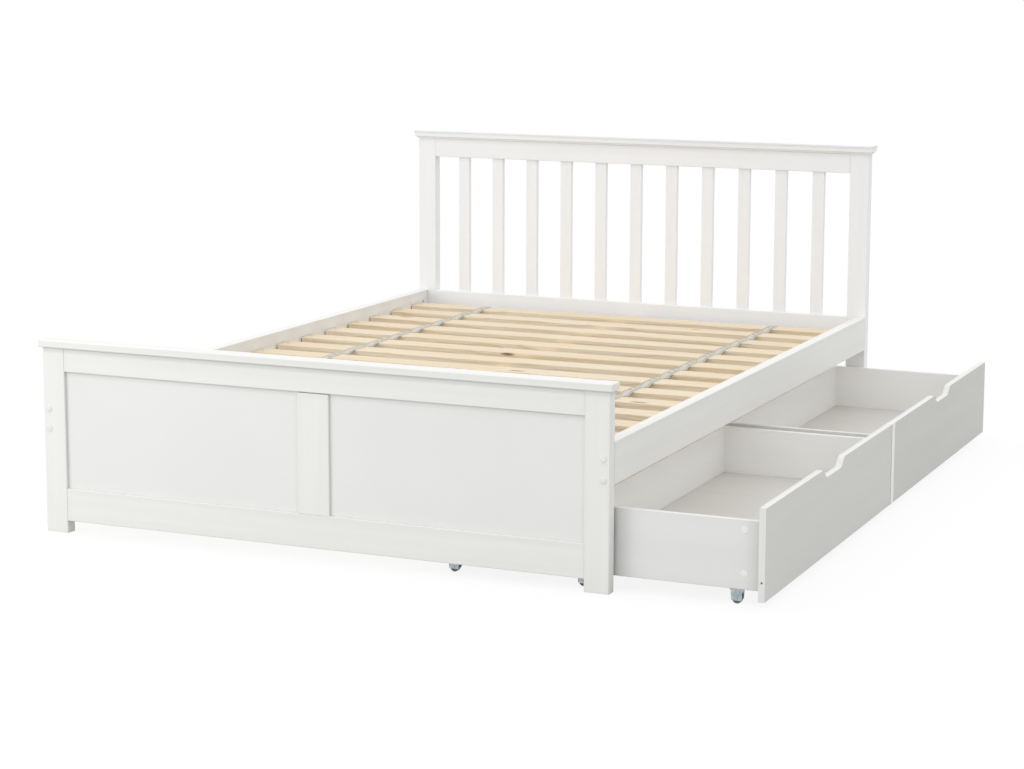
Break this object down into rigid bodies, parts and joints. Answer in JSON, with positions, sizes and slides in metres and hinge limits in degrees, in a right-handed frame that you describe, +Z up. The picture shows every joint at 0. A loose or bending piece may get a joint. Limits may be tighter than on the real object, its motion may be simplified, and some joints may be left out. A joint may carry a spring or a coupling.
{
  "type": "bed frame",
  "caption": "Wooden double bed frame with a panelled foot end, a head end of upright slats, a slatted base, and castored drawers that roll out from under one side.",
  "frame": {"origin": "the point of the floor under the centre leg's foot, midway along the bed and midway across its posts", "axes": "+X across the bed towards the side where the drawers come out; +Y along the bed from the foot end to the head end; +Z up"},
  "size_m": [1.839, 2.1, 0.848],
  "materials": {
    "painted_pine": "white satin paint over pine",
    "painted_panel": "white satin paint over fibreboard",
    "raw_pine": "planed, unfinished",
    "beech": "fluted, unfinished",
    "white_board": "white foil-faced board",
    "bottom_board": "thin lacquered hardboard",
    "zinc_steel": "zinc plated",
    "painted_steel": "powder coated",
    "grey_nylon": "moulded nylon",
    "black_plastic": "moulded",
    "white_plastic": "moulded"
  },
  "bodies": {
    "frame": {"foot_post_left": "painted_pine", "foot_post_right": "painted_pine", "foot_top_rail": "painted_pine", "foot_bottom_rail": "painted_pine", "foot_muntin": "painted_pine", "foot_cap": "painted_pine", "head_post_left": "painted_pine", "head_post_right": "painted_pine", "head_top_rail": "painted_pine", "head_bottom_rail": "painted_pine", "head_slats": "painted_pine", "head_moulding": "painted_pine", "head_cap": "painted_pine", "side_rail_left": "painted_pine", "side_rail_right": "painted_pine", "foot_panel_left": "painted_panel", "foot_panel_right": "painted_panel", "ledger_left": "raw_pine", "ledger_right": "raw_pine", "mid_beam": "raw_pine", "bed_slats": "raw_pine", "beam_brackets": "zinc_steel", "rail_bolts": "zinc_steel", "barrel_nuts": "zinc_steel", "ledger_screws": "zinc_steel", "bracket_screws": "zinc_steel", "centre_leg": "painted_steel", "centre_foot": "black_plastic", "bolt_caps": "white_plastic", "dowels": "beech"},
    "foot_drawer": {"foot_drawer_front": "white_board", "foot_drawer_side_a": "white_board", "foot_drawer_side_b": "white_board", "foot_drawer_back": "white_board", "foot_drawer_divider": "white_board", "foot_drawer_bottom": "bottom_board", "foot_drawer_battens": "white_board", "foot_drawer_castor_mounts": "zinc_steel", "foot_drawer_cam_caps": "white_plastic"},
    "foot_drawer_front_wheel_a": {"foot_drawer_front_wheel_a": "grey_nylon"},
    "foot_drawer_front_wheel_b": {"foot_drawer_front_wheel_b": "grey_nylon"},
    "foot_drawer_middle_wheel_a": {"foot_drawer_middle_wheel_a": "grey_nylon"},
    "foot_drawer_middle_wheel_b": {"foot_drawer_middle_wheel_b": "grey_nylon"},
    "foot_drawer_rear_wheel_a": {"foot_drawer_rear_wheel_a": "grey_nylon"},
    "foot_drawer_rear_wheel_b": {"foot_drawer_rear_wheel_b": "grey_nylon"},
    "head_drawer": {"head_drawer_front": "white_board", "head_drawer_side_a": "white_board", "head_drawer_side_b": "white_board", "head_drawer_back": "white_board", "head_drawer_divider": "white_board", "head_drawer_bottom": "bottom_board", "head_drawer_battens": "white_board", "head_drawer_castor_mounts": "zinc_steel", "head_drawer_cam_caps": "white_plastic"},
    "head_drawer_front_wheel_a": {"head_drawer_front_wheel_a": "grey_nylon"},
    "head_drawer_front_wheel_b": {"head_drawer_front_wheel_b": "grey_nylon"},
    "head_drawer_middle_wheel_a": {"head_drawer_middle_wheel_a": "grey_nylon"},
    "head_drawer_middle_wheel_b": {"head_drawer_middle_wheel_b": "grey_nylon"},
    "head_drawer_rear_wheel_a": {"head_drawer_rear_wheel_a": "grey_nylon"},
    "head_drawer_rear_wheel_b": {"head_drawer_rear_wheel_b": "grey_nylon"}
  },
  "joints": [
    {"name": "foot_drawer_slide", "type": "slide", "parent": "frame", "child": "foot_drawer", "axis": [1, 0, 0], "range_m": [-0.3405, 0.45]},
    {"name": "foot_drawer_front_wheel_a_spin", "type": "hinge", "parent": "foot_drawer", "child": "foot_drawer_front_wheel_a", "pos_m": [1.016, -0.988, 0.011], "axis": [0, 1, 0], "continuous": true},
    {"name": "foot_drawer_front_wheel_b_spin", "type": "hinge", "parent": "foot_drawer", "child": "foot_drawer_front_wheel_b", "pos_m": [1.016, -0.035, 0.011], "axis": [0, 1, 0], "continuous": true},
    {"name": "foot_drawer_middle_wheel_a_spin", "type": "hinge", "parent": "foot_drawer", "child": "foot_drawer_middle_wheel_a", "pos_m": [0.656, -0.988, 0.011], "axis": [0, 1, 0], "continuous": true},
    {"name": "foot_drawer_middle_wheel_b_spin", "type": "hinge", "parent": "foot_drawer", "child": "foot_drawer_middle_wheel_b", "pos_m": [0.656, -0.035, 0.011], "axis": [0, 1, 0], "continuous": true},
    {"name": "foot_drawer_rear_wheel_a_spin", "type": "hinge", "parent": "foot_drawer", "child": "foot_drawer_rear_wheel_a", "pos_m": [0.338, -0.988, 0.011], "axis": [0, 1, 0], "continuous": true},
    {"name": "foot_drawer_rear_wheel_b_spin", "type": "hinge", "parent": "foot_drawer", "child": "foot_drawer_rear_wheel_b", "pos_m": [0.338, -0.035, 0.011], "axis": [0, 1, 0], "continuous": true},
    {"name": "head_drawer_slide", "type": "slide", "parent": "frame", "child": "head_drawer", "axis": [1, 0, 0], "range_m": [-0.3405, 0.45]},
    {"name": "head_drawer_front_wheel_a_spin", "type": "hinge", "parent": "head_drawer", "child": "head_drawer_front_wheel_a", "pos_m": [1.016, 0.035, 0.011], "axis": [0, 1, 0], "continuous": true},
    {"name": "head_drawer_front_wheel_b_spin", "type": "hinge", "parent": "head_drawer", "child": "head_drawer_front_wheel_b", "pos_m": [1.016, 0.988, 0.011], "axis": [0, 1, 0], "continuous": true},
    {"name": "head_drawer_middle_wheel_a_spin", "type": "hinge", "parent": "head_drawer", "child": "head_drawer_middle_wheel_a", "pos_m": [0.656, 0.035, 0.011], "axis": [0, 1, 0], "continuous": true},
    {"name": "head_drawer_middle_wheel_b_spin", "type": "hinge", "parent": "head_drawer", "child": "head_drawer_middle_wheel_b", "pos_m": [0.656, 0.988, 0.011], "axis": [0, 1, 0], "continuous": true},
    {"name": "head_drawer_rear_wheel_a_spin", "type": "hinge", "parent": "head_drawer", "child": "head_drawer_rear_wheel_a", "pos_m": [0.338, 0.035, 0.011], "axis": [0, 1, 0], "continuous": true},
    {"name": "head_drawer_rear_wheel_b_spin", "type": "hinge", "parent": "head_drawer", "child": "head_drawer_rear_wheel_b", "pos_m": [0.338, 0.988, 0.011], "axis": [0, 1, 0], "continuous": true}
  ],
  "couplings": [
    {"joint": "foot_drawer_front_wheel_a_spin", "follows": "foot_drawer_slide", "rad_per_m": 90.909},
    {"joint": "foot_drawer_front_wheel_b_spin", "follows": "foot_drawer_slide", "rad_per_m": 90.909},
    {"joint": "foot_drawer_middle_wheel_a_spin", "follows": "foot_drawer_slide", "rad_per_m": 90.909},
    {"joint": "foot_drawer_middle_wheel_b_spin", "follows": "foot_drawer_slide", "rad_per_m": 90.909},
    {"joint": "foot_drawer_rear_wheel_a_spin", "follows": "foot_drawer_slide", "rad_per_m": 90.909},
    {"joint": "foot_drawer_rear_wheel_b_spin", "follows": "foot_drawer_slide", "rad_per_m": 90.909},
    {"joint": "head_drawer_front_wheel_a_spin", "follows": "head_drawer_slide", "rad_per_m": 90.909},
    {"joint": "head_drawer_front_wheel_b_spin", "follows": "head_drawer_slide", "rad_per_m": 90.909},
    {"joint": "head_drawer_middle_wheel_a_spin", "follows": "head_drawer_slide", "rad_per_m": 90.909},
    {"joint": "head_drawer_middle_wheel_b_spin", "follows": "head_drawer_slide", "rad_per_m": 90.909},
    {"joint": "head_drawer_rear_wheel_a_spin", "follows": "head_drawer_slide", "rad_per_m": 90.909},
    {"joint": "head_drawer_rear_wheel_b_spin", "follows": "head_drawer_slide", "rad_per_m": 90.909}
  ]
}
